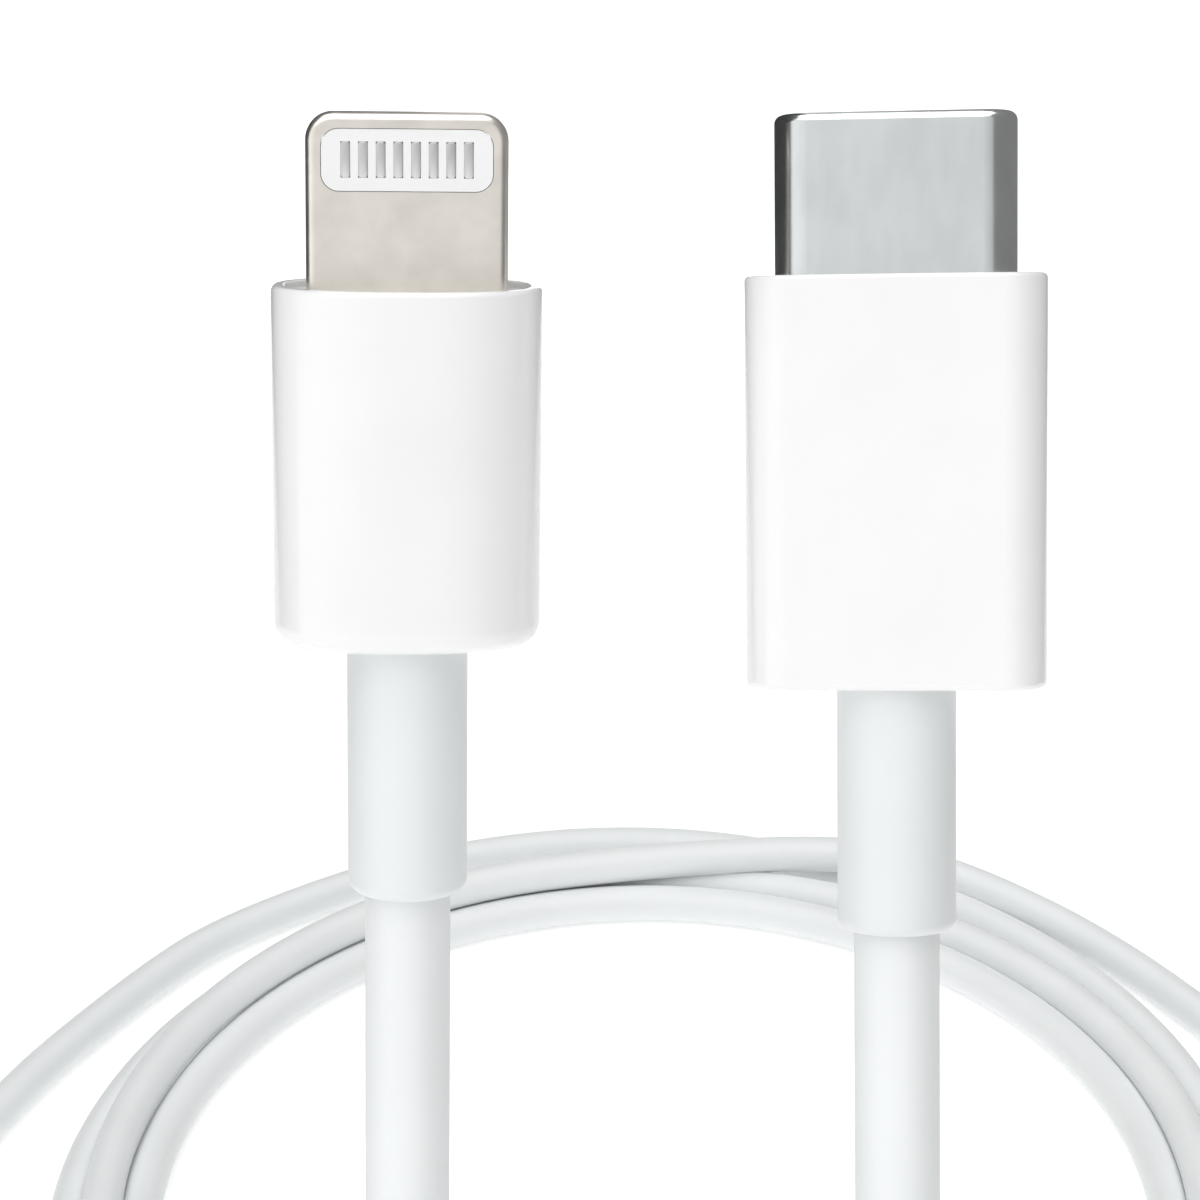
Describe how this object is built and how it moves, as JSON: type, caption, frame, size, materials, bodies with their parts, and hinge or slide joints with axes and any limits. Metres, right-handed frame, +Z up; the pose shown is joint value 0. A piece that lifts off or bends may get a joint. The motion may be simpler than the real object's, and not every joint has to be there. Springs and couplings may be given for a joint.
{
  "type": "charging cable",
  "caption": "Charging cable: a thin white cord in a loose coil, with a flat tab plug on one end and an oval plug on the other, both with sleeves and rounded casings.",
  "frame": {"origin": "on the surface that the coil rests on, under the middle of the whole part's box", "axes": "+Z up from the surface, -Y towards the front, where the two plugs stand, and +X to the right, on the oval plug's side"},
  "size_m": [0.1222, 0.1508, 0.1087],
  "materials": {
    "white_gloss": "smooth moulded gloss",
    "face_grey": "fine matt moulded",
    "sleeve_white": "soft satin elastomer",
    "cord_white": "soft satin elastomer",
    "tab_metal": "satin warm nickel plating",
    "tab_contacts": "plated, slightly dull",
    "shell_metal": "smooth drawn steel",
    "gold_contacts": "gold plated",
    "core_black": "matt moulded",
    "spring_steel": "rolled spring strip",
    "board_green": "solder mask",
    "chip_black": "moulded epoxy",
    "small_part_tan": "ceramic body",
    "can_steel": "tinned sheet",
    "moulding_grey": "low pressure moulding",
    "ring_metal": "tinned sheet",
    "wire_skin": "insulated wire"
  },
  "bodies": {
    "cable": {"cord_coil": "cord_white", "oval_chips": "chip_black", "oval_circuit_board": "board_green", "oval_cord_end": "cord_white", "oval_core": "core_black", "oval_crimp_ring": "ring_metal", "oval_face_plate": "face_grey", "oval_front_can": "can_steel", "oval_front_contacts": "gold_contacts", "oval_front_ground_spring": "spring_steel", "oval_housing": "white_gloss", "oval_inner_moulding": "moulding_grey", "oval_latch_base": "spring_steel", "oval_lead": "cord_white", "oval_metal_shell": "shell_metal", "oval_rear_can": "can_steel", "oval_rear_contacts": "gold_contacts", "oval_rear_ground_spring": "spring_steel", "oval_small_parts": "small_part_tan", "oval_strain_relief": "sleeve_white", "oval_wires": "wire_skin", "tab_chips": "chip_black", "tab_circuit_board": "board_green", "tab_contact_insert": "white_gloss", "tab_cord_end": "cord_white", "tab_crimp_ring": "ring_metal", "tab_face_plate": "face_grey", "tab_front_can": "can_steel", "tab_front_contacts": "tab_contacts", "tab_housing": "white_gloss", "tab_inner_moulding": "moulding_grey", "tab_lead": "cord_white", "tab_metal_frame": "tab_metal", "tab_rear_can": "can_steel", "tab_rear_contacts": "tab_contacts", "tab_small_parts": "small_part_tan", "tab_strain_relief": "sleeve_white", "tab_wires": "wire_skin"},
    "left_latch": {"oval_left_latch": "spring_steel"},
    "right_latch": {"oval_right_latch": "spring_steel"}
  },
  "joints": [
    {"name": "left_latch_flex", "type": "hinge", "parent": "cable", "child": "left_latch", "pos_m": [0.00296, -0.04928, 0.09914], "axis": [-0.114, -0.9137, 0.3902], "range_deg": [0, 1.6], "stiffness_Nm_per_rad": 0.4},
    {"name": "right_latch_flex", "type": "hinge", "parent": "cable", "child": "right_latch", "pos_m": [0.00981, -0.04998, 0.09952], "axis": [0.114, 0.9137, -0.3902], "range_deg": [0, 1.6], "stiffness_Nm_per_rad": 0.4}
  ]
}
